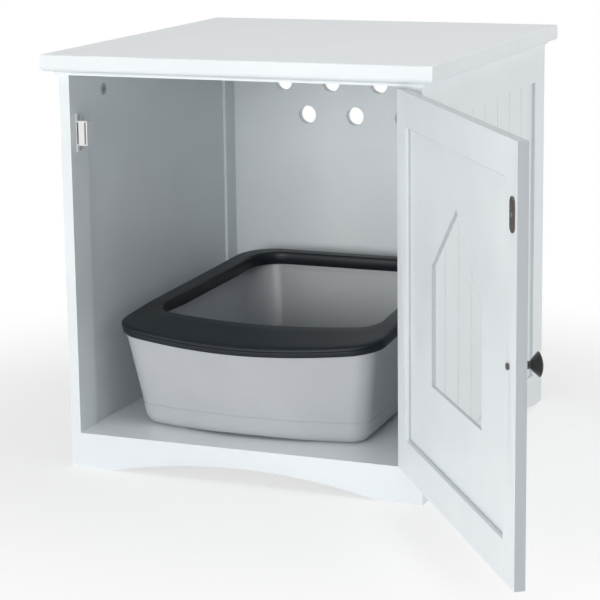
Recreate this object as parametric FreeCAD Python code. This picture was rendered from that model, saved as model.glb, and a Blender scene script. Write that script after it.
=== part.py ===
import FreeCAD, Part
import math
import os

# Cabinet for a cat litter tray. Millimetres, Z up, X to the right, Y to the back.
# The origin is on the floor, under the middle of the top board.
# The door is drawn closed and then swung open, because it stands open at rest.

# Overall sizes
TOTAL_H = 510.0
TOP_W = 490.0
TOP_D = 510.0
FRONT_OVERHANG = 15.0
END_OVERHANG = 17.0

# Top board and its routed edge, from the upper arris down
TOP_T = 25.0
TOP_ARRIS_R = 1.5
TOP_FACE_H = 15.0
TOP_OVOLO_R = 5.0
TOP_QUIRK = 3.5
TOP_COVE_R = TOP_T - TOP_FACE_H - TOP_OVOLO_R

# Boards
SIDE_T = 13.0
APRON_T = 13.0
FLOOR_T = 12.0
BACK_T = 12.0
APRON_H = 44.0

# Side frames
SIDE_STILE_W = 43.0
SIDE_TOP_RAIL_H = 46.5
SIDE_BOTTOM_RAIL_H = APRON_H
SIDE_PANEL_T = 5.0
SIDE_PLANKS = 8
TONGUE = 6.0
STUB_TENON_Z = 24.0

# V grooves in the panels
V_WIDTH = 3.0
V_DEPTH = 1.4

# Arched lower edges: half the arc's chord, its rise, and the blend into the foot
APRON_ARCH_HALF = 173.0
SIDE_ARCH_HALF = 222.0
ARCH_RISE = 20.0
ARCH_BLEND_R = 60.0

# Vent holes in the back board
VENT_D = 25.0
VENT_PITCH = 70.0
VENT_ROW_DROP = (60.0, 105.0)
VENT_ROW_COUNT = (5, 4)

# Door, in its closed place
DOOR_T = 11.5
DOOR_GAP_HINGE = 2.2
DOOR_GAP_LATCH = 1.8
DOOR_GAP_TOP = 1.2
DOOR_GAP_BOTTOM = 3.5
DOOR_STILE_W = 39.0
DOOR_TOP_RAIL_H = 40.0
DOOR_BOTTOM_RAIL_H = 43.0
DOOR_PANEL_T = 4.5
DOOR_PANEL_INSET = 5.0
DOOR_PLANKS = 7
DOOR_BEVEL_W = 2.0
DOOR_BEVEL_DEPTH = 2.5
DOOR_OPEN_DEG = 124.7

# House-shaped entrance
HOUSE_W = 181.0
HOUSE_SILL = 126.5
HOUSE_WALL_H = 133.0
HOUSE_ROOF_H = 77.0

# Butt hinges
HINGE_H = 50.0
HINGE_FROM_END = 60.0
HINGE_AXIS_PROUD = 3.0
KNUCKLE_R = 2.5
KNUCKLE_GAP = 0.3
KNUCKLE_SHARE = 0.32
PIN_R = 1.2
PIN_CLEARANCE = 0.05
LEAF_T = 0.9
LEAF_REACH = 11.0
LEAF_SCREW_OFFSET = 16.0
LEAF_SCREW_Y = 5.75

# Countersunk screws of the hinges and the strike plate
SCREW_HEAD_R = 2.4
SCREW_CONE_H = 1.2
SCREW_R = 1.2
SCREW_L = 9.0
SCREW_CLEARANCE = 0.05

# Knob and its screw
KNOB_FROM_EDGE = 22.0
KNOB_BASE_R = 5.5
KNOB_NECK_R = 3.8
KNOB_HEAD_R = 12.5
KNOB_NECK_AT = 9.5
KNOB_HEAD_AT = 18.5
KNOB_L = 22.5
KNOB_SCREW_R = 2.0
KNOB_SCREW_HEAD_R = 3.4
KNOB_SCREW_HEAD_H = 2.2
KNOB_SCREW_REACH = 11.0
BORE_CLEARANCE = 0.1

# Strike plate on the door and magnetic catch on the left side
CATCH_DROP = 71.5
STRIKE_W = 14.0
STRIKE_H = 35.0
STRIKE_T = 1.2
STRIKE_FROM_EDGE = 12.5
CATCH_REST_GAP = 0.3
CATCH_BASE_H = 46.0
CATCH_BASE_T = 1.6
CATCH_BODY_H = 30.0
CATCH_PROUD = 15.0
CATCH_DEPTH = 15.0
CATCH_WALL = 1.8
CATCH_NOSE = 0.6
CATCH_FACE_T = 1.0
POLE_T = 1.4
CATCH_SCREW_HEAD_R = 2.8
CATCH_SCREW_HEAD_H = 1.4
CATCH_SCREW_R = 1.3
CATCH_SCREW_L = 10.0

# Cam locks, their bolts, and dowels
CAM_R = 7.5
CAM_DEPTH = 10.2
CAM_FROM_EDGE = 27.0
CAM_SLOT_L = 8.0
CAM_SLOT_W = 1.6
CAM_SLOT_DEPTH = 2.0
CAM_POCKET_R = 3.6
BOLT_R = 3.0
BOLT_HEAD_R = 3.2
BOLT_HEAD_H = 3.0
BOLT_NECK_R = 2.0
BOLT_NECK_L = 5.0
BOLT_EMBED = 9.0
SIDE_CAM_INSET = 89.0
BACK_CAM_RISE = 98.0
BACK_CAM_DROP = 135.0
FLOOR_CAM_INSET = 15.0
DOWEL_R = 3.0
DOWEL_CHAMFER = 0.6
DOWEL_SHORT = 8.0
DOWEL_LONG = 16.0
DOWEL_END_GAP = 0.5

# Litter tray: pan, wider at the front than at the back
TRAY_X = -14.5
PAN_HALF_FRONT = 168.5
PAN_HALF_BACK = 153.0
PAN_FRONT = -198.0
PAN_BACK = 193.0
PAN_BOW = 20.5
PAN_REF_Z = 185.0
PAN_SIDE_DRAFT = 8.5
PAN_END_DRAFT = 10.5
PAN_WALL = 2.5
PAN_FRONT_R = 26.0
PAN_BACK_R = 45.0
PAN_BOTTOM_R = 17.0
PAN_PLINTH_H = 28.0
PAN_PLINTH_STEP = 0.8
PAN_BAND_H = 4.0
PAN_BAND_STEP = 1.0
PAN_BAND_LAP = 1.5
PAN_FOOT_ARCH_RISE = 4.0
PAN_FOOT_ARCH_HALF = (95.0, 110.0)
PAN_GRIP_STEP = 1.2
PAN_GRIP_HALF_W = 104.0
PAN_GRIP_DEPTH = 40.0
PAN_GRIP_Z = (72.0, 174.0)

# Litter tray: rim, whose upper face falls slowly to the front and dips in the middle of the front
RIM_PROUD = 5.0
RIM_SKIN = 2.0
RIM_WEB = 3.0
RIM_BACK_Z = 199.0
RIM_BEND_Y = -105.0
RIM_BEND_Z = 184.0
RIM_FRONT_Z = 178.0
RIM_DIP = 11.0
RIM_BEND_R = 120.0
RIM_SKIRT_BACK = 16.0
RIM_SKIRT_FRONT = 12.0
RIM_SEAT_GAP = 0.3
RIM_OPENING_HALF_FRONT = 149.0
RIM_OPENING_HALF_BACK = 133.0
RIM_OPENING_FRONT = -133.0
RIM_OPENING_BACK = 175.0
RIM_OPENING_BOW = 18.0
RIM_OPENING_FRONT_R = 24.0
RIM_OPENING_BACK_R = 40.0

# Places worked out from the sizes above
BODY_W = TOP_W - 2 * END_OVERHANG
BODY_X = BODY_W / 2
INNER_X = BODY_X - SIDE_T
MID_X = BODY_X - SIDE_T / 2
FRONT_Y = -TOP_D / 2 + FRONT_OVERHANG
BACK_Y = TOP_D / 2
BOX_TOP = TOTAL_H - TOP_T
APRON_BACK = FRONT_Y + APRON_T
BACK_FACE = BACK_Y - BACK_T
FLOOR_Z = APRON_H
FLOOR_UNDER = FLOOR_Z - FLOOR_T
SIDE_MID_Y = (FRONT_Y + BACK_Y) / 2
SIDE_CLEAR_Y = (FRONT_Y + SIDE_STILE_W, BACK_Y - SIDE_STILE_W)
SIDE_CLEAR_Z = (SIDE_BOTTOM_RAIL_H, BOX_TOP - SIDE_TOP_RAIL_H)
SIDE_PANEL_X = (MID_X - SIDE_PANEL_T / 2, MID_X + SIDE_PANEL_T / 2)

DOOR_X = (-INNER_X + DOOR_GAP_LATCH, INNER_X - DOOR_GAP_HINGE)
DOOR_Y = (FRONT_Y, FRONT_Y + DOOR_T)
DOOR_Z = (APRON_H + DOOR_GAP_BOTTOM, BOX_TOP - DOOR_GAP_TOP)
DOOR_MID_X = (DOOR_X[0] + DOOR_X[1]) / 2
DOOR_CLEAR_X = (DOOR_X[0] + DOOR_STILE_W, DOOR_X[1] - DOOR_STILE_W)
DOOR_CLEAR_Z = (DOOR_Z[0] + DOOR_BOTTOM_RAIL_H, DOOR_Z[1] - DOOR_TOP_RAIL_H)
DOOR_PANEL_Y = (DOOR_Y[1] - DOOR_PANEL_INSET - DOOR_PANEL_T, DOOR_Y[1] - DOOR_PANEL_INSET)
HINGE_X = INNER_X - DOOR_GAP_HINGE / 2
HINGE_Y = FRONT_Y - HINGE_AXIS_PROUD
HINGE_Z = (DOOR_Z[0] + HINGE_FROM_END, DOOR_Z[1] - HINGE_FROM_END)
KNOB_X = DOOR_X[0] + KNOB_FROM_EDGE
KNOB_Z = (DOOR_Z[0] + DOOR_Z[1]) / 2
STRIKE_X = DOOR_X[0] + STRIKE_FROM_EDGE
CATCH_Z = BOX_TOP - CATCH_DROP

X_AXIS = FreeCAD.Vector(1, 0, 0)
Y_AXIS = FreeCAD.Vector(0, 1, 0)
Z_AXIS = FreeCAD.Vector(0, 0, 1)


# Small building blocks

def point(x, y, z):
    return FreeCAD.Vector(x, y, z)


def box(low, high):
    """A box between two corners."""
    size = [high[i] - low[i] for i in range(3)]
    return Part.makeBox(size[0], size[1], size[2], point(*low))


def rod(start, axis, radius, length):
    return Part.makeCylinder(radius, length, start, axis)


def line(a, b):
    return Part.LineSegment(a, b).toShape()


def arc(a, b, c):
    return Part.Arc(a, b, c).toShape()


def prism(edges, along):
    """A solid from a closed flat outline, drawn out along a vector."""
    wire = Part.Wire(Part.__sortEdges__(edges))
    return Part.Face(wire).extrude(along)


def polygon_prism(points, along):
    return Part.Face(Part.makePolygon(points + points[:1])).extrude(along)


def turned(profile):
    """A solid turned about Z from (radius, height) points on one side of the axis."""
    points = [point(r, 0, z) for r, z in profile]
    face = Part.Face(Part.makePolygon(points + points[:1]))
    return face.revolve(point(0, 0, 0), Z_AXIS, 360)


def set_down(shape, origin, z_dir, x_dir):
    """Move a shape drawn at the origin so that its Z and X run along the given directions."""
    y_dir = z_dir.cross(x_dir)
    matrix = FreeCAD.Matrix(
        x_dir.x, y_dir.x, z_dir.x, origin.x,
        x_dir.y, y_dir.y, z_dir.y, origin.y,
        x_dir.z, y_dir.z, z_dir.z, origin.z,
    )
    moved = shape.copy()
    moved.Placement = FreeCAD.Placement(matrix).multiply(shape.Placement)
    return moved


def mirrored(shape):
    """The same piece on the other side of the cabinet."""
    return shape.mirror(point(0, 0, 0), X_AXIS)


def drill(board, tools):
    """Cut the tools that reach into a board."""
    near = [tool for tool in tools if tool.BoundBox.intersect(board.BoundBox)]
    return board.cut(near) if near else board


# Shared shapes

def arch_void(half, rise, to_point, along):
    """The space under an arched lower edge, with a blend that runs out at the floor line."""
    radius = (half ** 2 + rise ** 2) / (2 * rise)
    centre = rise - radius
    foot = math.sqrt((radius + ARCH_BLEND_R) ** 2 - (ARCH_BLEND_R - centre) ** 2)
    share = radius / (radius + ARCH_BLEND_R)
    meet = (foot * share, centre + (ARCH_BLEND_R - centre) * share)
    lean = math.atan2(foot - meet[0], ARCH_BLEND_R - meet[1]) / 2
    middle = (foot - ARCH_BLEND_R * math.sin(lean), ARCH_BLEND_R * (1 - math.cos(lean)))
    below = -1.0
    edges = [
        arc(to_point(-meet[0], meet[1]), to_point(0, rise), to_point(*meet)),
        arc(to_point(*meet), to_point(*middle), to_point(foot, 0)),
        line(to_point(foot, 0), to_point(foot, below)),
        line(to_point(foot, below), to_point(-foot, below)),
        line(to_point(-foot, below), to_point(-foot, 0)),
        arc(to_point(-foot, 0), to_point(-middle[0], middle[1]), to_point(-meet[0], meet[1])),
    ]
    return prism(edges, along)


def v_groove(centre, direction_out, direction_across, length):
    """A V groove's void, running up from its centre point."""
    across = direction_across * (V_WIDTH / 2)
    points = [centre - across, centre + across, centre - direction_out * V_DEPTH]
    return polygon_prism(points, Z_AXIS * length)


def screw_shape(clearance):
    """A countersunk screw with its head's face at the origin, pointing down Z."""
    return turned([
        (0, 0),
        (SCREW_HEAD_R + clearance, 0),
        (SCREW_R + clearance, -SCREW_CONE_H),
        (SCREW_R + clearance, -SCREW_L + SCREW_R - clearance),
        (0, -SCREW_L - clearance),
    ])


# Connectors: each is a place, and gives a piece and the tool that bores for it

def cam_places():
    """(face centre, direction out of the board's face, direction of the bolt)."""
    places = []
    for side in (-1, 1):
        inward = X_AXIS * -side
        outward = X_AXIS * side
        for y in (FRONT_Y + SIDE_CAM_INSET, BACK_Y - SIDE_CAM_INSET):
            places.append((point(side * INNER_X, y, BOX_TOP - CAM_FROM_EDGE), inward, Z_AXIS, SIDE_T))
        x = side * (INNER_X - CAM_FROM_EDGE)
        for z in (FLOOR_UNDER + BACK_CAM_RISE, BOX_TOP - BACK_CAM_DROP):
            places.append((point(x, BACK_Y, z), Y_AXIS, outward, BACK_T))
        for y in (APRON_BACK + FLOOR_CAM_INSET, BACK_FACE - FLOOR_CAM_INSET):
            places.append((point(x, y, FLOOR_UNDER), Z_AXIS * -1, outward, FLOOR_T))
    return places


def cam_lock(board_t):
    """The lock, its face up at the origin and its bolt pocket towards +X."""
    body = rod(point(0, 0, -CAM_DEPTH), Z_AXIS, CAM_R, CAM_DEPTH)
    pocket = rod(point(-BOLT_HEAD_H, 0, -board_t / 2), X_AXIS, CAM_POCKET_R, CAM_R + BOLT_HEAD_H)
    slots = [
        box((-CAM_SLOT_L / 2, -CAM_SLOT_W / 2, -CAM_SLOT_DEPTH), (CAM_SLOT_L / 2, CAM_SLOT_W / 2, 0)),
        box((-CAM_SLOT_W / 2, -CAM_SLOT_L / 2, -CAM_SLOT_DEPTH), (CAM_SLOT_W / 2, CAM_SLOT_L / 2, 0)),
    ]
    return body.cut([pocket] + slots)


def cam_bolt(board_t):
    """The bolt: its head at the lock's centre, its threaded end in the next board."""
    profile = [
        (0, -BOLT_HEAD_H / 2),
        (BOLT_HEAD_R, -BOLT_HEAD_H / 2),
        (BOLT_HEAD_R, BOLT_HEAD_H / 2),
        (BOLT_NECK_R, BOLT_HEAD_H / 2),
        (BOLT_NECK_R, BOLT_HEAD_H / 2 + BOLT_NECK_L),
        (BOLT_R, BOLT_HEAD_H / 2 + BOLT_NECK_L),
        (BOLT_R, CAM_FROM_EDGE + BOLT_EMBED),
        (0, CAM_FROM_EDGE + BOLT_EMBED),
    ]
    return set_down(turned(profile), point(0, 0, -board_t / 2), X_AXIS, Z_AXIS * -1)


def cam_bores(board_t):
    pocket = rod(
        point(0, 0, -CAM_DEPTH - BORE_CLEARANCE), Z_AXIS, CAM_R + BORE_CLEARANCE,
        CAM_DEPTH + 2 * BORE_CLEARANCE)
    reach = CAM_FROM_EDGE + BOLT_EMBED + BORE_CLEARANCE
    shank = rod(point(0, 0, -board_t / 2), X_AXIS, BOLT_R + BORE_CLEARANCE, reach)
    return [pocket, shank]


def placed_cams(make):
    shapes = []
    for origin, out, bolt, board_t in cam_places():
        made = make(board_t)
        for shape in made if isinstance(made, list) else [made]:
            shapes.append(set_down(shape, origin, out, bolt))
    return shapes


def dowel_places():
    """(point in the joint's plane, direction of the dowel's short end)."""
    places = []
    for side in (-1, 1):
        x = side * MID_X
        outward = X_AXIS * side
        for y in (FRONT_Y + SIDE_STILE_W / 2, BACK_Y - SIDE_STILE_W / 2):
            places.append((point(x, y, BOX_TOP), Z_AXIS))
        for y in (SIDE_CLEAR_Y[0] + 2 * SIDE_STILE_W, SIDE_CLEAR_Y[1] - 2 * SIDE_STILE_W):
            places.append((point(x, y, BOX_TOP), Z_AXIS))
        places.append((point(side * INNER_X, FRONT_Y + APRON_T / 2, STUB_TENON_Z), outward))
        places.append((point(side * INNER_X, BACK_Y - BACK_T / 2, BOX_TOP / 2), outward))
    for x in (-VENT_PITCH * 2, 0, VENT_PITCH * 2):
        places.append((point(x, BACK_Y - BACK_T / 2, BOX_TOP), Z_AXIS))
        places.append((point(x, BACK_FACE, FLOOR_Z - FLOOR_T / 2), Y_AXIS))
        places.append((point(x, APRON_BACK, FLOOR_Z - FLOOR_T / 2), Y_AXIS * -1))
    return places


def dowel(clearance, end_gap):
    """A dowel through the origin, with its short end up Z."""
    radius = DOWEL_R + clearance
    low = -DOWEL_LONG - end_gap
    high = DOWEL_SHORT + end_gap
    return turned([
        (0, low),
        (radius - DOWEL_CHAMFER, low),
        (radius, low + DOWEL_CHAMFER),
        (radius, high - DOWEL_CHAMFER),
        (radius - DOWEL_CHAMFER, high),
        (0, high),
    ])


def placed_dowels(clearance, end_gap):
    shapes = []
    for origin, direction in dowel_places():
        across = Y_AXIS if abs(direction.y) < 0.5 else X_AXIS
        shapes.append(set_down(dowel(clearance, end_gap), origin, direction, across))
    return shapes


# Carcass

def top_section(to_point, half, square_end):
    """The board's section: moulded at -half, and at +half too unless that end is square."""
    steps = TOP_OVOLO_R + TOP_QUIRK
    diag = 1 - math.sqrt(0.5)

    def moulding(sign):
        def at(inset, z):
            return to_point(sign * (half - inset), z)
        face_low = TOTAL_H - TOP_FACE_H
        quirk = face_low - TOP_OVOLO_R
        cove_r = TOP_COVE_R
        return [
            arc(at(TOP_ARRIS_R, TOTAL_H), at(TOP_ARRIS_R * diag, TOTAL_H - TOP_ARRIS_R * diag),
                at(0, TOTAL_H - TOP_ARRIS_R)),
            line(at(0, TOTAL_H - TOP_ARRIS_R), at(0, face_low)),
            arc(at(0, face_low), at(TOP_OVOLO_R * diag, quirk + TOP_OVOLO_R * diag),
                at(TOP_OVOLO_R, quirk)),
            line(at(TOP_OVOLO_R, quirk), at(steps, quirk)),
            arc(at(steps, quirk), at(steps + cove_r * (1 - diag), quirk - cove_r * diag),
                at(steps + cove_r, quirk - cove_r)),
        ]

    lip = half - steps - TOP_COVE_R
    edges = moulding(-1)
    if square_end:
        edges.append(line(to_point(-lip, BOX_TOP), to_point(half, BOX_TOP)))
        edges.append(line(to_point(half, BOX_TOP), to_point(half, TOTAL_H)))
        edges.append(line(to_point(half, TOTAL_H), to_point(-half + TOP_ARRIS_R, TOTAL_H)))
        return edges
    edges += moulding(1)
    edges.append(line(to_point(-lip, BOX_TOP), to_point(lip, BOX_TOP)))
    edges.append(line(to_point(-half + TOP_ARRIS_R, TOTAL_H), to_point(half - TOP_ARRIS_R, TOTAL_H)))
    return edges


def top_panel():
    """Two prisms crossed, so that the routed edge is mitred at the front corners."""
    across = prism(top_section(lambda u, z: point(u, -TOP_D / 2, z), TOP_W / 2, False), Y_AXIS * TOP_D)
    along = prism(top_section(lambda u, z: point(-TOP_W / 2, u, z), TOP_D / 2, True), X_AXIS * TOP_W)
    return across.common(along)


def side_arch():
    return arch_void(
        SIDE_ARCH_HALF, ARCH_RISE, lambda u, z: point(INNER_X - 1, SIDE_MID_Y + u, z),
        X_AXIS * (SIDE_T + 2))


def side_stile(y_low, y_high, groove):
    board = box((INNER_X, y_low, 0), (BODY_X, y_high, BOX_TOP))
    slot = box((SIDE_PANEL_X[0], groove[0], STUB_TENON_Z), (SIDE_PANEL_X[1], groove[1], BOX_TOP))
    return board.cut([slot, side_arch()])


def side_rail(z_low, z_high, tenon, groove):
    """A rail with a stub tenon at each end and a groove for the panel."""
    board = box((INNER_X, SIDE_CLEAR_Y[0], z_low), (BODY_X, SIDE_CLEAR_Y[1], z_high))
    tongue = box(
        (SIDE_PANEL_X[0], SIDE_CLEAR_Y[0] - TONGUE, tenon[0]),
        (SIDE_PANEL_X[1], SIDE_CLEAR_Y[1] + TONGUE, tenon[1]))
    slot = box(
        (SIDE_PANEL_X[0], SIDE_CLEAR_Y[0] - TONGUE, groove[0]),
        (SIDE_PANEL_X[1], SIDE_CLEAR_Y[1] + TONGUE, groove[1]))
    return board.fuse(tongue).cut([slot, side_arch()]).removeSplitter()


def side_panel():
    """The thin panel, grooved like planks on its outer face."""
    low_z = SIDE_CLEAR_Z[0] - TONGUE
    high_z = SIDE_CLEAR_Z[1] + TONGUE
    board = box(
        (SIDE_PANEL_X[0], SIDE_CLEAR_Y[0] - TONGUE, low_z),
        (SIDE_PANEL_X[1], SIDE_CLEAR_Y[1] + TONGUE, high_z))
    pitch = (SIDE_CLEAR_Y[1] - SIDE_CLEAR_Y[0]) / SIDE_PLANKS
    grooves = [
        v_groove(point(SIDE_PANEL_X[1], SIDE_CLEAR_Y[0] + pitch * i, low_z), X_AXIS, Y_AXIS, high_z - low_z)
        for i in range(1, SIDE_PLANKS)
    ]
    return board.cut(grooves)


def side_pieces():
    """The right side's five pieces."""
    front_groove = (SIDE_CLEAR_Y[0] - TONGUE, SIDE_CLEAR_Y[0])
    rear_groove = (SIDE_CLEAR_Y[1], SIDE_CLEAR_Y[1] + TONGUE)
    low, high = SIDE_CLEAR_Z
    return {
        "front_stile": side_stile(FRONT_Y, SIDE_CLEAR_Y[0], front_groove),
        "rear_stile": side_stile(SIDE_CLEAR_Y[1], BACK_Y, rear_groove),
        "top_rail": side_rail(high, BOX_TOP, (high + TONGUE, BOX_TOP), (high, high + TONGUE)),
        "bottom_rail": side_rail(0, low, (STUB_TENON_Z, low - TONGUE), (low - TONGUE, low)),
        "bead_panel": side_panel(),
    }


def front_apron():
    board = box((-INNER_X, FRONT_Y, 0), (INNER_X, APRON_BACK, APRON_H))
    void = arch_void(
        APRON_ARCH_HALF, ARCH_RISE, lambda u, z: point(u, FRONT_Y - 1, z), Y_AXIS * (APRON_T + 2))
    return board.cut(void)


def floor_panel():
    return box((-INNER_X, APRON_BACK, FLOOR_UNDER), (INNER_X, BACK_FACE, FLOOR_Z))


def back_panel():
    board = box((-INNER_X, BACK_FACE, FLOOR_UNDER), (INNER_X, BACK_Y, BOX_TOP))
    holes = []
    for drop, count in zip(VENT_ROW_DROP, VENT_ROW_COUNT):
        for i in range(count):
            x = (i - (count - 1) / 2) * VENT_PITCH
            holes.append(rod(point(x, BACK_FACE, BOX_TOP - drop), Y_AXIS, VENT_D / 2, BACK_T))
    return board.cut(holes)


# Magnetic catch on the left side

def catch_places():
    front = DOOR_Y[1] + STRIKE_T + CATCH_REST_GAP
    wall = -INNER_X
    return front, wall


def catch_housing():
    """A base plate with a hollow body for the magnet, slotted at the front for the poles."""
    front, wall = catch_places()
    front += CATCH_NOSE
    back = front + CATCH_DEPTH
    half_base = CATCH_BASE_H / 2
    half_body = CATCH_BODY_H / 2
    base = box((wall, front, CATCH_Z - half_base), (wall + CATCH_BASE_T, back, CATCH_Z + half_base))
    body = box((wall, front, CATCH_Z - half_body), (wall + CATCH_PROUD, back, CATCH_Z + half_body))
    room = box(
        (wall + CATCH_WALL, front + CATCH_FACE_T, CATCH_Z - half_body + CATCH_WALL),
        (wall + CATCH_PROUD - CATCH_WALL, back - CATCH_WALL, CATCH_Z + half_body - CATCH_WALL))
    return base.fuse(body).cut([room, *catch_poles()]).removeSplitter()


def catch_core(x_low, x_high):
    front, wall = catch_places()
    half = CATCH_BODY_H / 2 - CATCH_WALL
    back = front + CATCH_NOSE + CATCH_DEPTH - CATCH_WALL
    return box((wall + x_low, front, CATCH_Z - half), (wall + x_high, back, CATCH_Z + half))


def catch_poles():
    return [
        catch_core(CATCH_WALL, CATCH_WALL + POLE_T),
        catch_core(CATCH_PROUD - CATCH_WALL - POLE_T, CATCH_PROUD - CATCH_WALL),
    ]


def catch_magnet():
    block = catch_core(CATCH_WALL + POLE_T, CATCH_PROUD - CATCH_WALL - POLE_T)
    front, wall = catch_places()
    recess = box((wall, front, 0), (0, front + CATCH_NOSE + CATCH_FACE_T, BOX_TOP))
    return block.cut(recess)


def catch_screws(clearance):
    """Pan-head screws through the ears of the base plate."""
    front, wall = catch_places()
    ear = (CATCH_BASE_H + CATCH_BODY_H) / 4
    shapes = []
    for z in (CATCH_Z - ear, CATCH_Z + ear):
        seat = point(wall + CATCH_BASE_T, front + CATCH_NOSE + CATCH_DEPTH / 2, z)
        shank = rod(seat, X_AXIS * -1, CATCH_SCREW_R + clearance, CATCH_SCREW_L + clearance)
        if clearance == 0:
            shank = shank.fuse(rod(seat, X_AXIS, CATCH_SCREW_HEAD_R, CATCH_SCREW_HEAD_H))
        shapes.append(shank)
    return shapes


# Hinges

def knuckle(z_low, z_high):
    outer = rod(point(HINGE_X, HINGE_Y, z_low), Z_AXIS, KNUCKLE_R, z_high - z_low)
    return outer


def leaf(side, centre_z, spans):
    """One leaf: a plate in the gap beside the door, with its share of the knuckles."""
    low = centre_z - HINGE_H / 2
    inner = HINGE_X + side * (DOOR_GAP_HINGE / 2 - LEAF_T)
    outer = HINGE_X + side * DOOR_GAP_HINGE / 2
    xs = sorted((inner, outer))
    plate = box(
        (xs[0], FRONT_Y, low),
        (xs[1], FRONT_Y + LEAF_REACH, low + HINGE_H))
    pieces = []
    for start, end in spans:
        pieces.append(knuckle(low + start, low + end))
        pieces.append(box((xs[0], HINGE_Y, low + start), (xs[1], FRONT_Y, low + end)))
    bore = rod(point(HINGE_X, HINGE_Y, low - 1), Z_AXIS, PIN_R + PIN_CLEARANCE, HINGE_H + 2)
    return plate.multiFuse(pieces).cut(bore).removeSplitter()


def knuckle_spans():
    """The fixed leaf holds the two end knuckles, the moving leaf the middle one."""
    end = HINGE_H * KNUCKLE_SHARE
    fixed = [(0, end), (HINGE_H - end, HINGE_H)]
    moving = [(end + KNUCKLE_GAP, HINGE_H - end - KNUCKLE_GAP)]
    return fixed, moving


def leaf_screws(side, clearance):
    shapes = []
    x = HINGE_X + side * (DOOR_GAP_HINGE / 2 - LEAF_T)
    for centre_z in HINGE_Z:
        for z in (centre_z - LEAF_SCREW_OFFSET, centre_z + LEAF_SCREW_OFFSET):
            place = point(x, FRONT_Y + LEAF_SCREW_Y, z)
            shapes.append(set_down(screw_shape(clearance), place, X_AXIS * -side, Z_AXIS))
    return shapes


def hinge_leaves(side):
    spans = knuckle_spans()[0 if side > 0 else 1]
    bores = leaf_screws(side, SCREW_CLEARANCE)
    return [drill(leaf(side, z, spans), bores) for z in HINGE_Z]


def hinge_pins():
    pins = []
    for z in HINGE_Z:
        low = z - HINGE_H / 2
        pins.append(rod(point(HINGE_X, HINGE_Y, low), Z_AXIS, PIN_R, HINGE_H))
    return pins


# Door, drawn closed

def door_opening_bevel():
    """The bevel round the panel, on the inner face of the frame."""
    outlines = []
    for depth, grow in ((0, DOOR_BEVEL_W), (DOOR_BEVEL_DEPTH, 0)):
        y = DOOR_Y[1] - depth
        xs = (DOOR_CLEAR_X[0] - grow, DOOR_CLEAR_X[1] + grow)
        zs = (DOOR_CLEAR_Z[0] - grow, DOOR_CLEAR_Z[1] + grow)
        corners = [point(xs[0], y, zs[0]), point(xs[1], y, zs[0]), point(xs[1], y, zs[1]),
                   point(xs[0], y, zs[1])]
        outlines.append(Part.makePolygon(corners + corners[:1]))
    return Part.makeLoft(outlines, True, True)


def door_panel_slot():
    """The space that the panel fills, out to the bottoms of the grooves."""
    return box(
        (DOOR_CLEAR_X[0] - TONGUE, DOOR_PANEL_Y[0], DOOR_CLEAR_Z[0] - TONGUE),
        (DOOR_CLEAR_X[1] + TONGUE, DOOR_PANEL_Y[1], DOOR_CLEAR_Z[1] + TONGUE))


def door_stile(x_low, x_high):
    board = box((x_low, DOOR_Y[0], DOOR_Z[0]), (x_high, DOOR_Y[1], DOOR_Z[1]))
    slot = box(
        (DOOR_CLEAR_X[0] - TONGUE, DOOR_PANEL_Y[0], DOOR_Z[0] + TONGUE),
        (DOOR_CLEAR_X[1] + TONGUE, DOOR_PANEL_Y[1], DOOR_Z[1] - TONGUE))
    return board.cut([slot, door_opening_bevel()])


def door_rail(z_low, z_high, tenon):
    board = box((DOOR_CLEAR_X[0], DOOR_Y[0], z_low), (DOOR_CLEAR_X[1], DOOR_Y[1], z_high))
    tongue = box(
        (DOOR_CLEAR_X[0] - TONGUE, DOOR_PANEL_Y[0], tenon[0]),
        (DOOR_CLEAR_X[1] + TONGUE, DOOR_PANEL_Y[1], tenon[1]))
    return board.fuse(tongue).cut([door_panel_slot(), door_opening_bevel()]).removeSplitter()


def house_void():
    half = HOUSE_W / 2
    sill = DOOR_Z[0] + HOUSE_SILL
    y = DOOR_PANEL_Y[0] - 1
    points = [
        point(DOOR_MID_X - half, y, sill),
        point(DOOR_MID_X + half, y, sill),
        point(DOOR_MID_X + half, y, sill + HOUSE_WALL_H),
        point(DOOR_MID_X, y, sill + HOUSE_WALL_H + HOUSE_ROOF_H),
        point(DOOR_MID_X - half, y, sill + HOUSE_WALL_H),
    ]
    return polygon_prism(points, Y_AXIS * (DOOR_PANEL_T + 2))


def door_panel():
    board = door_panel_slot()
    pitch = (DOOR_CLEAR_X[1] - DOOR_CLEAR_X[0]) / DOOR_PLANKS
    low_z = DOOR_CLEAR_Z[0] - TONGUE
    length = DOOR_CLEAR_Z[1] - DOOR_CLEAR_Z[0] + 2 * TONGUE
    grooves = [
        v_groove(point(DOOR_CLEAR_X[0] + pitch * i, DOOR_PANEL_Y[0], low_z), Y_AXIS * -1, X_AXIS, length)
        for i in range(1, DOOR_PLANKS)
    ]
    return board.cut(grooves + [house_void()])


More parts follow.
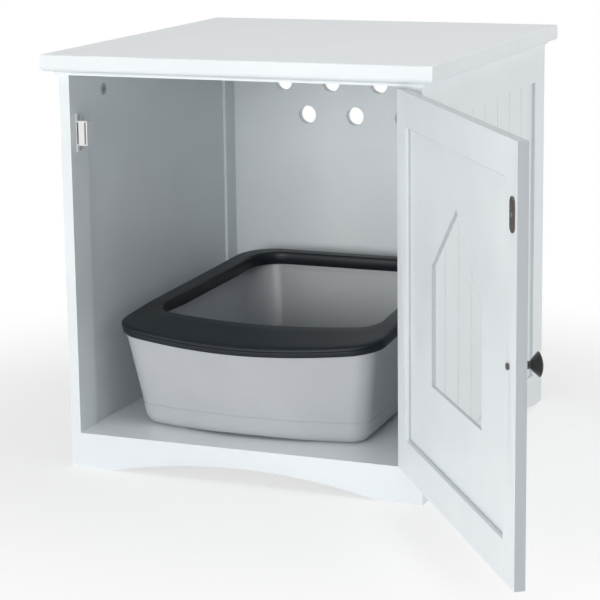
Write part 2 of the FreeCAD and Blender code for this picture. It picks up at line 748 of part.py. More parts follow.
def door_knob():
    """A turned knob: a small foot, a narrow neck and a wide domed head."""
    dome_r = (KNOB_HEAD_R ** 2 + (KNOB_L - KNOB_HEAD_AT) ** 2) / (2 * (KNOB_L - KNOB_HEAD_AT))
    mid_r = KNOB_HEAD_R / 2
    mid_z = KNOB_L - dome_r + math.sqrt(dome_r ** 2 - mid_r ** 2)
    edges = [
        line(point(0, 0, 0), point(KNOB_BASE_R, 0, 0)),
        line(point(KNOB_BASE_R, 0, 0), point(KNOB_NECK_R, 0, KNOB_NECK_AT)),
        line(point(KNOB_NECK_R, 0, KNOB_NECK_AT), point(KNOB_HEAD_R, 0, KNOB_HEAD_AT)),
        arc(point(KNOB_HEAD_R, 0, KNOB_HEAD_AT), point(mid_r, 0, mid_z), point(0, 0, KNOB_L)),
        line(point(0, 0, KNOB_L), point(0, 0, 0)),
    ]
    face = Part.Face(Part.Wire(Part.__sortEdges__(edges)))
    body = face.revolve(point(0, 0, 0), Z_AXIS, 360)
    bore = rod(point(0, 0, -1), Z_AXIS, KNOB_SCREW_R + BORE_CLEARANCE, KNOB_SCREW_REACH + 1 + BORE_CLEARANCE)
    return set_down(body.cut(bore), point(KNOB_X, DOOR_Y[0], KNOB_Z), Y_AXIS * -1, X_AXIS)


def knob_screw():
    head = rod(point(KNOB_X, DOOR_Y[1], KNOB_Z), Y_AXIS, KNOB_SCREW_HEAD_R, KNOB_SCREW_HEAD_H)
    shank = rod(point(KNOB_X, DOOR_Y[1], KNOB_Z), Y_AXIS * -1, KNOB_SCREW_R, DOOR_T + KNOB_SCREW_REACH)
    return head.fuse(shank)


def strike_screw(clearance):
    place = point(STRIKE_X, DOOR_Y[1] + STRIKE_T, CATCH_Z)
    return set_down(screw_shape(clearance), place, Y_AXIS, X_AXIS)


def strike_plate():
    """A steel plate with round ends, screwed to the door's inner face."""
    straight = (STRIKE_H - STRIKE_W) / 2
    y = DOOR_Y[1]
    middle = box(
        (STRIKE_X - STRIKE_W / 2, y, CATCH_Z - straight),
        (STRIKE_X + STRIKE_W / 2, y + STRIKE_T, CATCH_Z + straight))
    ends = [
        rod(point(STRIKE_X, y, CATCH_Z + sign * straight), Y_AXIS, STRIKE_W / 2, STRIKE_T)
        for sign in (-1, 1)
    ]
    return middle.multiFuse(ends).removeSplitter().cut(strike_screw(SCREW_CLEARANCE))


def swung_open(shape):
    turned_shape = shape.copy()
    turned_shape.rotate(point(HINGE_X, HINGE_Y, 0), Z_AXIS, DOOR_OPEN_DEG)
    return turned_shape


def door_pieces():
    low, high = DOOR_CLEAR_Z
    screw_bores = leaf_screws(-1, SCREW_CLEARANCE) + [strike_screw(SCREW_CLEARANCE)]
    knob_bore = rod(point(KNOB_X, DOOR_Y[0], KNOB_Z), Y_AXIS, KNOB_SCREW_R + BORE_CLEARANCE, DOOR_T)
    return {
        "door_hinge_stile": drill(door_stile(DOOR_CLEAR_X[1], DOOR_X[1]), screw_bores),
        "door_latch_stile": drill(door_stile(DOOR_X[0], DOOR_CLEAR_X[0]), screw_bores + [knob_bore]),
        "door_top_rail": door_rail(high, DOOR_Z[1], (high + TONGUE, DOOR_Z[1] - TONGUE)),
        "door_bottom_rail": door_rail(DOOR_Z[0], low, (DOOR_Z[0] + TONGUE, low - TONGUE)),
        "door_panel": door_panel(),
        "door_knob": door_knob(),
        "knob_screw": knob_screw(),
        "strike_plate": strike_plate(),
        "strike_screw": strike_screw(0),
        "hinge_door_leaves": Part.makeCompound(hinge_leaves(-1)),
        "hinge_door_screws": Part.makeCompound(leaf_screws(-1, 0)),
    }


# Litter tray

PAN = (PAN_HALF_FRONT, PAN_HALF_BACK, PAN_FRONT, PAN_BACK, PAN_BOW, PAN_FRONT_R, PAN_BACK_R)
OPENING = (
    RIM_OPENING_HALF_FRONT, RIM_OPENING_HALF_BACK, RIM_OPENING_FRONT, RIM_OPENING_BACK,
    RIM_OPENING_BOW, RIM_OPENING_FRONT_R, RIM_OPENING_BACK_R)
TRAY_CEILING = RIM_BACK_Z + 20.0
TRAY_REACH_X = 200.0
TRAY_REACH_Y = TOP_D / 2


def tray_outline(sizes, grow, z):
    """A four-sided outline at one height, bowed at the front, wider higher up by the draft."""
    half_front, half_back, front, back, bow = sizes[:5]
    side = (z - PAN_REF_Z) * math.tan(math.radians(PAN_SIDE_DRAFT)) + grow
    end = (z - PAN_REF_Z) * math.tan(math.radians(PAN_END_DRAFT)) + grow
    left = point(TRAY_X - half_front - side, front - end, z)
    right = point(TRAY_X + half_front + side, front - end, z)
    nose = point(TRAY_X, front - bow - end, z)
    far_right = point(TRAY_X + half_back + side, back + end, z)
    far_left = point(TRAY_X - half_back - side, back + end, z)
    return Part.Wire([
        arc(left, nose, right),
        line(right, far_right),
        line(far_right, far_left),
        line(far_left, left),
    ])


def tray_volume(sizes, grow, z_low, z_high):
    """A drafted block between two heights, with rounded upright corners."""
    front_r, back_r = sizes[5:]
    block = Part.makeLoft([tray_outline(sizes, grow, z_low), tray_outline(sizes, grow, z_high)], True, True)
    for radius, side in ((front_r, -1), (back_r, 1)):
        upright = [
            edge for edge in block.Edges
            if edge.BoundBox.ZLength > (z_high - z_low) / 2 and edge.CenterOfMass.y * side > 0
        ]
        block = block.makeFillet(radius + grow, upright)
    return block


def bent_line(back, bend, front, radius):
    """Two lines in side view with an arc between them: the points on the arc, back to front."""
    def unit(a, b):
        length = math.dist(a, b)
        return ((b[0] - a[0]) / length, (b[1] - a[1]) / length)
    first = unit(back, bend)
    second = unit(bend, front)
    turn = math.acos(first[0] * second[0] + first[1] * second[1])
    cut = radius * math.tan(turn / 2)
    start = (bend[0] - first[0] * cut, bend[1] - first[1] * cut)
    end = (bend[0] + second[0] * cut, bend[1] + second[1] * cut)
    toward = (second[0] - first[0], second[1] - first[1])
    length = math.hypot(*toward)
    sagitta = radius / math.cos(turn / 2) - radius
    middle = (bend[0] + toward[0] / length * sagitta, bend[1] + toward[1] / length * sagitta)
    return start, middle, end


def rim_section(x, dip, drop_back, drop_front):
    """The space over the rim's upper face, lowered, in side view."""
    def beyond(a, b, y):
        return (y, b[1] + (b[1] - a[1]) * (y - b[0]) / (b[0] - a[0]))
    bend = (RIM_BEND_Y, RIM_BEND_Z - drop_back)
    back = beyond(bend, (PAN_BACK + RIM_PROUD, RIM_BACK_Z - drop_back), TRAY_REACH_Y)
    front = beyond(bend, (PAN_FRONT - RIM_PROUD, RIM_FRONT_Z - dip - drop_front), -TRAY_REACH_Y)
    start, middle, end = bent_line(back, bend, front, RIM_BEND_R)

    def at(p):
        return point(TRAY_X + x, p[0], p[1])
    over_back = at((back[0], TOTAL_H))
    over_front = at((front[0], TOTAL_H))
    return Part.Wire([
        line(at(back), at(start)),
        arc(at(start), at(middle), at(end)),
        line(at(end), at(front)),
        line(at(front), over_front),
        line(over_front, over_back),
        line(over_back, at(back)),
    ])


def space_above(drop_back, drop_front):
    """Everything over the rim's upper face, lowered; the face dips toward the middle of the front."""
    places = ((-TRAY_REACH_X, 0), (0, RIM_DIP), (TRAY_REACH_X, 0))
    return Part.makeLoft([rim_section(x, dip, drop_back, drop_front) for x, dip in places], True, False)


def pan_block(inset, bottom):
    """The pan as a full block, rounded along its lower edge."""
    block = tray_volume(PAN, -inset, bottom, TRAY_CEILING)
    under = [edge for edge in block.Edges if abs(edge.BoundBox.ZMax - bottom) < 0.01]
    return block.makeFillet(PAN_BOTTOM_R - inset, under)


def pan_outside():
    """The pan's outer form: a plinth, the wall, and a band under the rim, on four corner feet."""
    slab_top = FLOOR_Z + PAN_PLINTH_H
    slab = box((-BODY_X, FRONT_Y, FLOOR_Z), (BODY_X, BACK_Y, slab_top))
    plinth = pan_block(-PAN_PLINTH_STEP, FLOOR_Z).common(slab)
    band_low = space_above(RIM_SKIRT_BACK + PAN_BAND_H, RIM_SKIRT_FRONT + PAN_BAND_H)
    band_high = space_above(RIM_SKIRT_BACK - PAN_BAND_LAP, RIM_SKIRT_FRONT - PAN_BAND_LAP)
    band = pan_block(-PAN_BAND_STEP, FLOOR_Z).common(band_low).cut(band_high)
    form = pan_block(0, FLOOR_Z).multiFuse([plinth, band])
    half_x, half_y = PAN_FOOT_ARCH_HALF
    mid_y = (PAN_FRONT + PAN_BACK) / 2
    under_front = arch_void(
        half_x, PAN_FOOT_ARCH_RISE, lambda u, z: point(TRAY_X + u, FRONT_Y, FLOOR_Z + z), Y_AXIS * TOP_D)
    under_side = arch_void(
        half_y, PAN_FOOT_ARCH_RISE, lambda u, z: point(-BODY_X, mid_y + u, FLOOR_Z + z), X_AXIS * BODY_W)
    return form.cut([under_front, under_side])


def pan_grip():
    """The part of the back wall that is set inwards as a grip."""
    low, high = PAN_GRIP_Z
    return box(
        (TRAY_X - PAN_GRIP_HALF_W, PAN_BACK - PAN_GRIP_DEPTH, low),
        (TRAY_X + PAN_GRIP_HALF_W, BACK_Y, high))


def litter_pan():
    """A thin-walled tray whose edge follows the underside of the rim."""
    floor_top = FLOOR_Z + PAN_FOOT_ARCH_RISE + PAN_WALL
    inner = pan_block(PAN_WALL, floor_top)
    inner_grip = pan_block(PAN_WALL + PAN_GRIP_STEP, floor_top)
    outer_grip = pan_block(PAN_GRIP_STEP, FLOOR_Z)
    grip = pan_grip()
    drop = RIM_WEB + RIM_SEAT_GAP
    outside = pan_outside()
    outside = outside.cut(grip).fuse(outside.common(grip).common(outer_grip))
    inside = inner.cut(grip).fuse(inner_grip.common(grip))
    return outside.cut([inside, space_above(drop, drop)]).removeSplitter()


def litter_rim():
    """An inverted channel that sits on the pan's edge, with a wide sloping lip at the front."""
    low = RIM_FRONT_Z - RIM_DIP - 3 * RIM_SKIRT_BACK
    block = tray_volume(PAN, RIM_PROUD, low, TRAY_CEILING)
    opening = tray_volume(OPENING, 0, low - 1, TRAY_CEILING + 1)
    below_skirt = block.cut(space_above(RIM_SKIRT_BACK, RIM_SKIRT_FRONT))
    ring = block.cut([opening, space_above(0, 0), below_skirt])
    room = tray_volume(PAN, RIM_PROUD - RIM_SKIN, low - 1, TRAY_CEILING)
    core = tray_volume(OPENING, RIM_SKIN, low - 2, TRAY_CEILING + 1)
    channel = room.cut([core, space_above(RIM_WEB, RIM_WEB)])
    return ring.cut(channel)


# The whole cabinet

def carcass_pieces():
    """Every fixed board, bored for its connectors."""
    boards = {
        "top_panel": top_panel(),
        "front_apron": front_apron(),
        "floor_panel": floor_panel(),
        "back_panel": back_panel(),
    }
    for name, piece in side_pieces().items():
        boards["right_" + name] = piece
        boards["left_" + name] = mirrored(piece)
    bores = placed_cams(cam_bores)
    bores += placed_dowels(BORE_CLEARANCE / 2, DOWEL_END_GAP)
    bores += leaf_screws(1, SCREW_CLEARANCE)
    bores += catch_screws(SCREW_CLEARANCE)
    return {name: drill(board, bores) for name, board in boards.items()}


def hardware_pieces():
    return {
        "cam_locks": Part.makeCompound(placed_cams(cam_lock)),
        "cam_bolts": Part.makeCompound(placed_cams(cam_bolt)),
        "dowels": Part.makeCompound(placed_dowels(0, 0)),
        "hinge_fixed_leaves": Part.makeCompound(hinge_leaves(1)),
        "hinge_fixed_screws": Part.makeCompound(leaf_screws(1, 0)),
        "hinge_pins": Part.makeCompound(hinge_pins()),
        "catch_housing": drill(catch_housing(), catch_screws(SCREW_CLEARANCE)),
        "catch_magnet": catch_magnet(),
        "catch_poles": Part.makeCompound(catch_poles()),
        "catch_screws": Part.makeCompound(catch_screws(0)),
    }


def main():
    pieces = carcass_pieces()
    pieces.update(hardware_pieces())
    for name, shape in door_pieces().items():
        pieces[name] = swung_open(shape)
    pieces["litter_pan"] = litter_pan()
    pieces["litter_rim"] = litter_rim()
    os.makedirs("parts", exist_ok=True)
    for name, shape in pieces.items():
        shape.exportStep(os.path.join("parts", name + ".step"))
        state = "ok" if shape.isValid() else "NOT VALID"
        print(f"{name}: {len(shape.Solids)} solid(s), {shape.Volume / 1000:.2f} cm3, {state}")


main()
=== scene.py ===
import math

import bpy
from mathutils import Matrix, Vector


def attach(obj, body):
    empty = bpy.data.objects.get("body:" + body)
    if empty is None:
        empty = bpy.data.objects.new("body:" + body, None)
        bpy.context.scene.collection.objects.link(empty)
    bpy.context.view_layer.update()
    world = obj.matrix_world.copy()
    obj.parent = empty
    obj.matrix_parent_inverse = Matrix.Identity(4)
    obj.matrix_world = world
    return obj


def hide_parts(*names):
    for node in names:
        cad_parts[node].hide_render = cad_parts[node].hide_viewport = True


# White cabinet with its door open and a grey litter tray inside. Metres, Z up.

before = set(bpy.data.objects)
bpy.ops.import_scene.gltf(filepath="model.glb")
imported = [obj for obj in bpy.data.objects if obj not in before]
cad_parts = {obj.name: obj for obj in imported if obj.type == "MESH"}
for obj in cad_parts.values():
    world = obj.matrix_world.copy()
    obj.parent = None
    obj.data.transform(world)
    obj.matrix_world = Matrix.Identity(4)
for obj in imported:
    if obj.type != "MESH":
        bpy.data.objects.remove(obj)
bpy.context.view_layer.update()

MM = 0.001


# Nodes and colours

def linear(code):
    """An sRGB hex code as linear RGBA."""
    values = [int(code[i:i + 2], 16) / 255 for i in (0, 2, 4)]
    return [v / 12.92 if v <= 0.04045 else ((v + 0.055) / 1.055) ** 2.4 for v in values] + [1.0]


def add(tree, kind, settings=(), links=()):
    """A node with its settings, on sockets or on itself, and what its sockets are linked to."""
    node = tree.nodes.new(kind)
    for name, value in dict(settings).items():
        if name in node.inputs:
            node.inputs[name].default_value = value
        else:
            setattr(node, name, value)
    for name, source in dict(links).items():
        tree.links.new(source, node.inputs[name])
    return node


def new_material(name, **surface):
    """A material with only its shader in it: (material, tree, shader)."""
    material = bpy.data.materials.new(name)
    material.use_nodes = True
    tree = material.node_tree
    tree.nodes.clear()
    shader = add(tree, "ShaderNodeBsdfPrincipled", surface)
    add(tree, "ShaderNodeOutputMaterial", links={"Surface": shader.outputs["BSDF"]})
    return material, tree, shader


def per_metre(millimetres):
    """The scale of a pattern whose features are so many millimetres wide."""
    return 1 / (millimetres * MM)


def grain(tree, width_mm, detail=2.0, stretch=(1, 1, 1)):
    """Noise whose features have a real width."""
    where = add(tree, "ShaderNodeTexCoord")
    scaled = add(tree, "ShaderNodeMapping", {"Scale": stretch}, {"Vector": where.outputs["Object"]})
    return add(tree, "ShaderNodeTexNoise", {"Scale": per_metre(width_mm), "Detail": detail},
               {"Vector": scaled.outputs["Vector"]})


def spread(tree, source, low, high):
    """A noise's middle range, spread between two values."""
    return add(tree, "ShaderNodeMapRange",
               {"From Min": 0.3, "From Max": 0.7, "To Min": low, "To Max": high},
               {"Value": source.outputs["Fac"]}).outputs["Result"]


def tint(tree, source, dark, light):
    """A colour between two codes, led by a noise."""
    return add(tree, "ShaderNodeMix",
               {"data_type": "RGBA", "A": linear(dark), "B": linear(light)},
               {"Factor": spread(tree, source, 0.0, 1.0)}).outputs["Result"]


def relief(tree, shader, source, depth_mm, strength=1.0):
    """Bumps of a real depth on a shader."""
    bump = add(tree, "ShaderNodeBump", {"Strength": strength, "Distance": depth_mm * MM},
               {"Height": source.outputs["Fac"]})
    tree.links.new(bump.outputs["Normal"], shader.inputs["Normal"])


# Materials

def sprayed_lacquer(name, face=None):
    """Fibreboard sprayed with satin white lacquer: faint orange peel, and sheen that varies a little.

    Where the board's flat face is given, its edges get painted shade: a greyer colour that stands in for
    shade the lamps don't give them.
    """
    material, tree, shader = new_material(name, IOR=1.5)
    peel = grain(tree, 2.5, 1.0)
    broad = grain(tree, 90.0, 3.0)
    colour = tint(tree, broad, "E8EDF0", "EDF2F4")
    if face:
        where = add(tree, "ShaderNodeTexCoord")
        along = add(tree, "ShaderNodeVectorMath", {"operation": "DOT_PRODUCT"})
        tree.links.new(where.outputs["Normal"], along.inputs[0])
        along.inputs[1].default_value = face
        flat = add(tree, "ShaderNodeMath", {"operation": "ABSOLUTE"}, {"Value": along.outputs["Value"]})
        # Painted shade: faces turned away from the flat face, the edges, are mixed towards grey BEC4C8
        painted_shade_edge = add(tree, "ShaderNodeMapRange",
                   {"From Min": 0.45, "From Max": 0.95, "To Min": 1.0, "To Max": 0.0},
                   {"Value": flat.outputs["Value"]})
        colour = add(tree, "ShaderNodeMix", {"data_type": "RGBA", "B": linear("BEC4C8")},
                     {"Factor": painted_shade_edge.outputs["Result"], "A": colour}).outputs["Result"]
    tree.links.new(colour, shader.inputs["Base Color"])
    tree.links.new(spread(tree, broad, 0.34, 0.42), shader.inputs["Roughness"])
    relief(tree, shader, peel, 0.012)
    return material


def moulded_pp(name, dark, light, rough, texture_mm, depth_mm, sheen=0.5):
    """Moulded plastic: a fine spark-eroded texture and an even, soft sheen."""
    material, tree, shader = new_material(name, **{"IOR": 1.49, "Specular IOR Level": sheen})
    fine = grain(tree, texture_mm, 2.0)
    broad = grain(tree, 60.0, 2.0)
    tree.links.new(tint(tree, broad, dark, light), shader.inputs["Base Color"])
    tree.links.new(spread(tree, fine, rough - 0.05, rough + 0.05), shader.inputs["Roughness"])
    relief(tree, shader, fine, depth_mm)
    return material


def plated_steel(name, code, rough):
    """Rolled and plated steel: short fine scratches that break up the shine."""
    material, tree, shader = new_material(name, **{"Metallic": 1.0, "Base Color": linear(code)})
    scratch = grain(tree, 0.6, 3.0, (1, 1, 8))
    tree.links.new(spread(tree, scratch, rough - 0.06, rough + 0.08), shader.inputs["Roughness"])
    relief(tree, shader, scratch, 0.01)
    return material


def cast_zinc():
    """Die-cast zinc, tumbled: dull grey with a slightly pitted skin."""
    material, tree, shader = new_material("cast_zinc", Metallic=1.0)
    pits = grain(tree, 0.8, 3.0)
    tree.links.new(tint(tree, pits, "A9ABAE", "BDBFC1"), shader.inputs["Base Color"])
    tree.links.new(spread(tree, pits, 0.38, 0.52), shader.inputs["Roughness"])
    relief(tree, shader, pits, 0.03)
    return material


def black_enamel():
    """Turned metal dipped in gloss black enamel: mirror-like, with the faintest ripple."""
    material, tree, shader = new_material("black_enamel", IOR=1.52)
    ripple = grain(tree, 4.0, 1.0)
    tree.links.new(tint(tree, ripple, "0B0B0C", "101012"), shader.inputs["Base Color"])
    tree.links.new(spread(tree, ripple, 0.06, 0.1), shader.inputs["Roughness"])
    shader.inputs["Coat Weight"].default_value = 0.25
    shader.inputs["Coat Roughness"].default_value = 0.04
    relief(tree, shader, ripple, 0.01)
    return material


def sintered_ferrite():
    """Pressed and sintered ferrite: near black, matt and grainy."""
    material, tree, shader = new_material("sintered_ferrite", IOR=1.8)
    grit = grain(tree, 0.5, 3.0)
    tree.links.new(tint(tree, grit, "1C1C1E", "2C2C2F"), shader.inputs["Base Color"])
    tree.links.new(spread(tree, grit, 0.6, 0.8), shader.inputs["Roughness"])
    relief(tree, shader, grit, 0.03)
    return material


def turned_beech():
    """Bare beech dowel: pale brown with short darker flecks along the grain."""
    material, tree, shader = new_material("turned_beech", IOR=1.5)
    flecks = grain(tree, 1.2, 3.0, (1, 1, 0.15))
    tree.links.new(tint(tree, flecks, "B48C5E", "CDA877"), shader.inputs["Base Color"])
    tree.links.new(spread(tree, flecks, 0.55, 0.7), shader.inputs["Roughness"])
    relief(tree, shader, flecks, 0.05)
    return material


# The way the door's flat face looks while it stands open; the door's edges, turned away from it, get
# painted shade
DOOR_FACE = (-0.822, -0.569, 0.0)

WHITE = sprayed_lacquer("sprayed_white_lacquer")
DOOR_WHITE_SHADED_EDGES = sprayed_lacquer("sprayed_white_lacquer_door_shaded_edges", DOOR_FACE)
ABS = moulded_pp("moulded_white_abs", "E6E7E8", "ECEDEE", 0.38, 0.8, 0.006)
PAN = moulded_pp("moulded_grey_pp", "B7BABE", "BCBFC2", 0.36, 1.0, 0.008)
RIM = moulded_pp("moulded_anthracite_pp", "141A20", "192026", 0.42, 0.9, 0.012, 0.32)
NICKEL = plated_steel("nickel_plated_steel", "B9B7B2", 0.24)
BROWNED = plated_steel("browned_steel", "6B6561", 0.38)
ZINC = cast_zinc()
ENAMEL = black_enamel()
FERRITE = sintered_ferrite()
BEECH = turned_beech()


# The boards and fittings that keep their shape

def soften(piece, width_mm, segments=2):
    """Join the piece's faces and round its edges a little."""
    weld = piece.modifiers.new("weld", "WELD")
    weld.merge_threshold = 0.001 * MM
    bevel = piece.modifiers.new("edges", "BEVEL")
    bevel.width = width_mm * MM
    bevel.segments = segments
    bevel.limit_method = "ANGLE"
    bevel.angle_limit = math.radians(35)
    bevel.harden_normals = False


def dress(material, names, edge_mm=0.0):
    for name in names:
        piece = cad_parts[name]
        for slot in piece.material_slots:
            slot.material = material
        if edge_mm:
            soften(piece, edge_mm)


SIDES = [f"{side}_{part}" for side in ("left", "right")
         for part in ("front_stile", "rear_stile", "top_rail", "bottom_rail")]
DOOR_FRAME = ["door_hinge_stile", "door_latch_stile", "door_top_rail", "door_bottom_rail"]

dress(WHITE, ["top_panel"])
dress(WHITE, SIDES + ["front_apron"], 0.6)
# The door's frame and panel carry painted shade on their edges
dress(DOOR_WHITE_SHADED_EDGES, DOOR_FRAME, 0.5)
dress(WHITE, ["left_bead_panel", "right_bead_panel", "floor_panel", "back_panel"])
dress(DOOR_WHITE_SHADED_EDGES, ["door_panel"])
dress(ZINC, ["cam_locks"])
dress(NICKEL, ["cam_bolts", "hinge_fixed_leaves", "hinge_fixed_screws", "hinge_pins",
               "catch_screws", "strike_screw", "hinge_door_leaves", "hinge_door_screws"])
dress(BEECH, ["dowels"])
dress(ABS, ["catch_housing"], 0.5)
dress(FERRITE, ["catch_magnet"])
dress(ENAMEL, ["door_knob"])
dress(BROWNED, ["strike_plate"], 0.3)
dress(BROWNED, ["catch_poles", "knob_screw"])
dress(PAN, ["litter_pan"])


# The tray's rim, in millimetres from the tray's centre line

TRAY_X = -14.5
DRAFT_Z = 185.0
SIDE_SLOPE = math.tan(math.radians(8.5))
END_SLOPE = math.tan(math.radians(10.5))

# Plan outlines at the draft's level
RIM_OUTER = {"front_half": 173.5, "back_half": 158.0, "front": -203.0, "back": 198.0,
             "bow": 20.5, "front_r": 31.0, "back_r": 50.0}
RIM_OPENING = {"front_half": 149.0, "back_half": 133.0, "front": -133.0, "back": 175.0,
               "bow": 18.0, "front_r": 24.0, "back_r": 40.0}

# Heights of the upper face: it bends where the wide front lip begins
RIM_BACK_Z = 199.0
RIM_BEND_Y = -105.0
RIM_BEND_Z = 184.0
RIM_BEND_HALF = 8.0
RIM_FRONT_Z = 178.0
RIM_DIP = 11.0
RIM_DIP_HALF = 200.0

# The channel's section
SKIRT_BACK = 16.0
SKIRT_FRONT = 12.0
SKIRT_LEAN = 0.16
SHOULDER_W = 8.0
SHOULDER_H = 3.4
LIP_R = 3.0
CREASE_DEPTH = 4.6


def rim_top(x, y):
    """The height of the rim's upper face: it falls to the front and dips in the middle of the front."""
    behind = (RIM_BACK_Z - RIM_BEND_Z) / (RIM_OUTER["back"] - RIM_BEND_Y)
    drop = RIM_DIP * (1 - (x / RIM_DIP_HALF) ** 2)
    ahead = (RIM_BEND_Z - RIM_FRONT_Z + drop) / (RIM_BEND_Y - RIM_OUTER["front"])
    along = y - RIM_BEND_Y
    blend = RIM_BEND_HALF
    if along >= blend:
        return RIM_BEND_Z + behind * along
    if along <= -blend:
        return RIM_BEND_Z + ahead * along
    return (RIM_BEND_Z + behind * blend - (behind + ahead) / 2 * (blend - along)
            - (behind - ahead) / (4 * blend) * (blend ** 2 - along ** 2))


def plan_loop(form, counts=(28, 9, 18, 9, 18, 9, 18, 9)):
    """A bowed and rounded outline: front, then corner and side in turn, counter-clockwise from above."""
    corners = [(-form["front_half"], form["front"], form["front_r"]),
               (form["front_half"], form["front"], form["front_r"]),
               (form["back_half"], form["back"], form["back_r"]),
               (-form["back_half"], form["back"], form["back_r"])]
    rounds = []
    for i, (x, y, radius) in enumerate(corners):
        here = Vector((x, y))
        before = (Vector(corners[i - 1][:2]) - here).normalized()
        after = (Vector(corners[(i + 1) % 4][:2]) - here).normalized()
        half = before.angle(after) / 2
        centre = here + (before + after).normalized() * radius / math.sin(half)
        start = here + before * radius / math.tan(half) - centre
        sweep = math.pi - 2 * half
        rounds.append([centre + Matrix.Rotation(sweep * t / counts[1], 2) @ start
                       for t in range(counts[1] + 1)])
    points = []
    for i, count in enumerate(counts[0::2]):
        first = rounds[i][-1]
        last = rounds[(i + 1) % 4][0]
        points += [first.lerp(last, t / count) for t in range(count)]
        points += rounds[(i + 1) % 4][:-1]
    widest = rounds[1][-1].x
    length = len(points)
    for i, p in enumerate(points):
        if i < counts[0] + counts[1] or i >= length - counts[1]:
            p.y -= form["bow"] * max(0.0, 1 - (p.x / widest) ** 2)
    return points


def rim_profile(width, skirt):
    """The channel's section as (distance in from the outer face, depth under the upper face)."""
    quarter = math.pi / 2
    foot = SKIRT_LEAN * skirt
    hem = width + SKIRT_LEAN * skirt
    outside = [(foot + 0.6, skirt), (foot, skirt - 0.6),
               (0.7, CREASE_DEPTH + 1.4), (0.8, CREASE_DEPTH + 1.0), (2.2, CREASE_DEPTH + 0.5),
               (2.2, CREASE_DEPTH - 0.2), (0.2, CREASE_DEPTH - 0.6)]
    shoulder = [(SHOULDER_W * (1 - math.cos(a)), SHOULDER_H * (1 - math.sin(a)))
                for a in (0, 0.3, 0.6, 0.9, 1.2, quarter)]
    top = [(SHOULDER_W + (width - SHOULDER_W - LIP_R) * t, 0) for t in (0.25, 0.5, 0.75)]
    lip = [(width - LIP_R * (1 - math.sin(a)), LIP_R * (1 - math.cos(a)))
           for a in (0, 0.4, 0.8, 1.2, quarter)]
    inside = [(hem - SKIRT_LEAN * 0.5, skirt - 0.5), (hem - 0.6, skirt), (hem - 1.8, skirt),
              (width - 2.0, 4.4), (width - 3.2, 3.0)]
    under = [(3.4, 3.0), (2.6, 4.4), (foot + 2.0, skirt)]
    return outside + shoulder + top + lip + inside + under


def tray_rim():
    """Channel rim with a rounded outer shoulder, a fine crease under it, and a wide sloping lip."""
    outer = plan_loop(RIM_OUTER)
    opening = plan_loop(RIM_OPENING)
    verts = []
    for out, into in zip(outer, opening):
        along = Vector((into.x - out.x, into.y - out.y))
        width = along.length
        along.normalize()
        lift = SIDE_SLOPE * abs(along.x) + END_SLOPE * abs(along.y)
        base = out - along * lift * (rim_top(out.x, out.y) - DRAFT_Z)
        ahead = min(1.0, max(0.0, (RIM_BEND_Y - out.y) / (RIM_BEND_Y - RIM_OUTER["front"])))
        skirt = SKIRT_BACK + (SKIRT_FRONT - SKIRT_BACK) * ahead
        for inward, depth in rim_profile(width, skirt):
            p = base + along * inward
            verts.append(((p.x + TRAY_X) * MM, p.y * MM, (rim_top(p.x, p.y) - depth) * MM))
    count = len(outer)
    ring = len(verts) // count
    faces = []
    for i in range(count):
        here = i * ring
        beyond = (i + 1) % count * ring
        for j in range(ring):
            k = (j + 1) % ring
            faces.append((here + j, beyond + j, beyond + k, here + k))
    mesh = bpy.data.meshes.new("tray_rim")
    mesh.from_pydata(verts, [], faces)
    mesh.validate()
    for polygon in mesh.polygons:
        polygon.use_smooth = True
    mesh.materials.append(RIM)
    rim = bpy.data.objects.new("tray_rim", mesh)
    bpy.context.collection.objects.link(rim)
    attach(rim, "tray_rim")
    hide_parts("litter_rim")


# Studio

def lamp(name, place, aim, size, power):
    """A white soft box that faces a point."""
    light = bpy.data.lights.new(name, "AREA")
    light.shape = "SQUARE"
    light.size = size
    light.energy = power
    holder = bpy.data.objects.new(name, light)
    holder.location = place
    holder.rotation_euler = (Vector(aim) - Vector(place)).to_track_quat("-Z", "Y").to_euler()
    bpy.context.collection.objects.link(holder)


def studio_floor():
    """A pale floor that keeps the shadow and fades into the white behind it."""
    half = 6.0
    fade_from = 0.38
    fade_to = 0.9
    white_share = 0.65
    mesh = bpy.data.meshes.new("floor")
    corners = [(-half, -half, 0), (half, -half, 0), (half, half, 0), (-half, half, 0)]
    mesh.from_pydata(corners, [], [(0, 1, 2, 3)])
    floor = bpy.data.objects.new("floor", mesh)
    bpy.context.collection.objects.link(floor)
    material = bpy.data.materials.new("studio_paper")
    material.use_nodes = True
    tree = material.node_tree
    tree.nodes.clear()
    paper = add(tree, "ShaderNodeBsdfDiffuse", {"Color": linear("F6F7F8")})
    white = add(tree, "ShaderNodeEmission", {"Color": linear("FFFFFF"), "Strength": 1.0})
    place = add(tree, "ShaderNodeNewGeometry")
    far = add(tree, "ShaderNodeVectorMath", {"operation": "LENGTH"}, {"Vector": place.outputs["Position"]})
    fade = add(tree, "ShaderNodeMapRange",
               {"From Min": fade_from, "From Max": fade_to, "To Min": white_share,
                "interpolation_type": "SMOOTHSTEP"},
               {"Value": far.outputs["Value"]})
    ray = add(tree, "ShaderNodeLightPath")
    seen = add(tree, "ShaderNodeMath", {"operation": "MAXIMUM"})
    tree.links.new(ray.outputs["Is Camera Ray"], seen.inputs[0])
    tree.links.new(ray.outputs["Is Glossy Ray"], seen.inputs[1])
    share = add(tree, "ShaderNodeMath", {"operation": "MULTIPLY"})
    tree.links.new(fade.outputs["Result"], share.inputs[0])
    tree.links.new(seen.outputs["Value"], share.inputs[1])
    blend = add(tree, "ShaderNodeMixShader", links={"Fac": share.outputs["Value"]})
    tree.links.new(paper.outputs["BSDF"], blend.inputs[1])
    tree.links.new(white.outputs["Emission"], blend.inputs[2])
    add(tree, "ShaderNodeOutputMaterial", links={"Surface": blend.outputs["Shader"]})
    floor.data.materials.append(material)


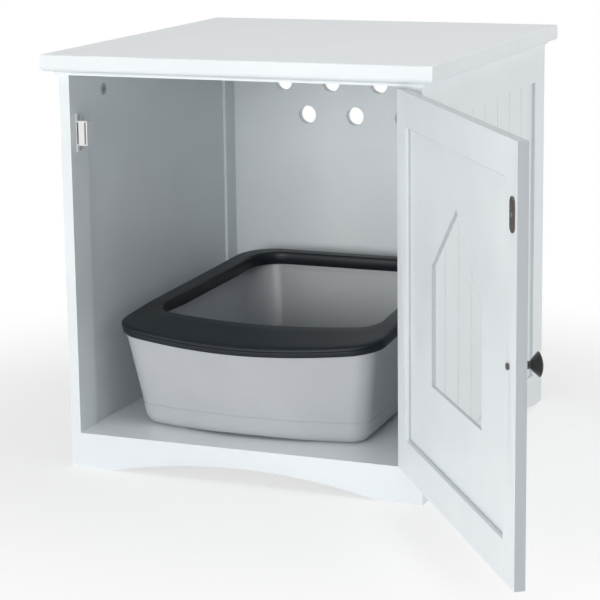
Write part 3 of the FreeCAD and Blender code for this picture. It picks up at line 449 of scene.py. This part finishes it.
def studio_world(strength):
    """White behind the object, and a plain even light from all round."""
    world = bpy.data.worlds.new("studio")
    bpy.context.scene.world = world
    world.use_nodes = True
    tree = world.node_tree
    tree.nodes.clear()
    ray = add(tree, "ShaderNodeLightPath")
    straight = add(tree, "ShaderNodeMath", {"operation": "MAXIMUM"})
    tree.links.new(ray.outputs["Is Camera Ray"], straight.inputs[0])
    tree.links.new(ray.outputs["Is Transmission Ray"], straight.inputs[1])
    seen = add(tree, "ShaderNodeMath", {"operation": "MAXIMUM"})
    tree.links.new(straight.outputs["Value"], seen.inputs[0])
    tree.links.new(ray.outputs["Is Glossy Ray"], seen.inputs[1])
    level = add(tree, "ShaderNodeMapRange", {"To Min": strength, "To Max": 1.0},
                {"Value": seen.outputs["Value"]})
    light = add(tree, "ShaderNodeBackground", {"Color": linear("FFFFFF")},
                {"Strength": level.outputs["Result"]})
    add(tree, "ShaderNodeOutputWorld", links={"Surface": light.outputs["Background"]})


def photo_camera():
    """The camera that was worked out from the photograph's corners."""
    turn = 0.405133
    tilt = 0.205192
    roll = -0.016109
    place = (1.003514, -2.494213, 0.771780)
    forward = Vector((-math.sin(turn) * math.cos(tilt), math.cos(turn) * math.cos(tilt),
                      -math.sin(tilt)))
    level = Vector((math.cos(turn), math.sin(turn), 0))
    raised = level.cross(forward)
    right = level * math.cos(roll) + raised * math.sin(roll)
    up = raised * math.cos(roll) - level * math.sin(roll)
    lens = bpy.data.cameras.new("photo_camera")
    lens.sensor_width = 36.0
    lens.lens = 129.156
    lens.shift_x = 0.0558
    lens.shift_y = -0.0446
    lens.clip_end = 100.0
    camera = bpy.data.objects.new("photo_camera", lens)
    turned = Matrix((right, up, -forward)).transposed().to_4x4()
    camera.matrix_world = Matrix.Translation(place) @ turned
    bpy.context.collection.objects.link(camera)
    bpy.context.scene.camera = camera


tray_rim()
photo_camera()
studio_floor()
studio_world(0.12)
lamp("low_front", (-0.4, -3.2, 0.35), (0, 0, 0.2), 1.4, 43)
lamp("front_middle", (0.2, -3.4, 0.9), (0, 0, 0.25), 1.0, 18)
lamp("low_left", (-2.6, -2.4, 0.5), (0, 0, 0.2), 1.6, 14)
lamp("right_back", (3.2, 0.8, 1.2), (0, 0, 0.25), 2.0, 41)
lamp("overhead", (0.3, -0.4, 3.2), (0, 0, 0.3), 2.4, 41)
bpy.context.scene.view_settings.view_transform = "Standard"
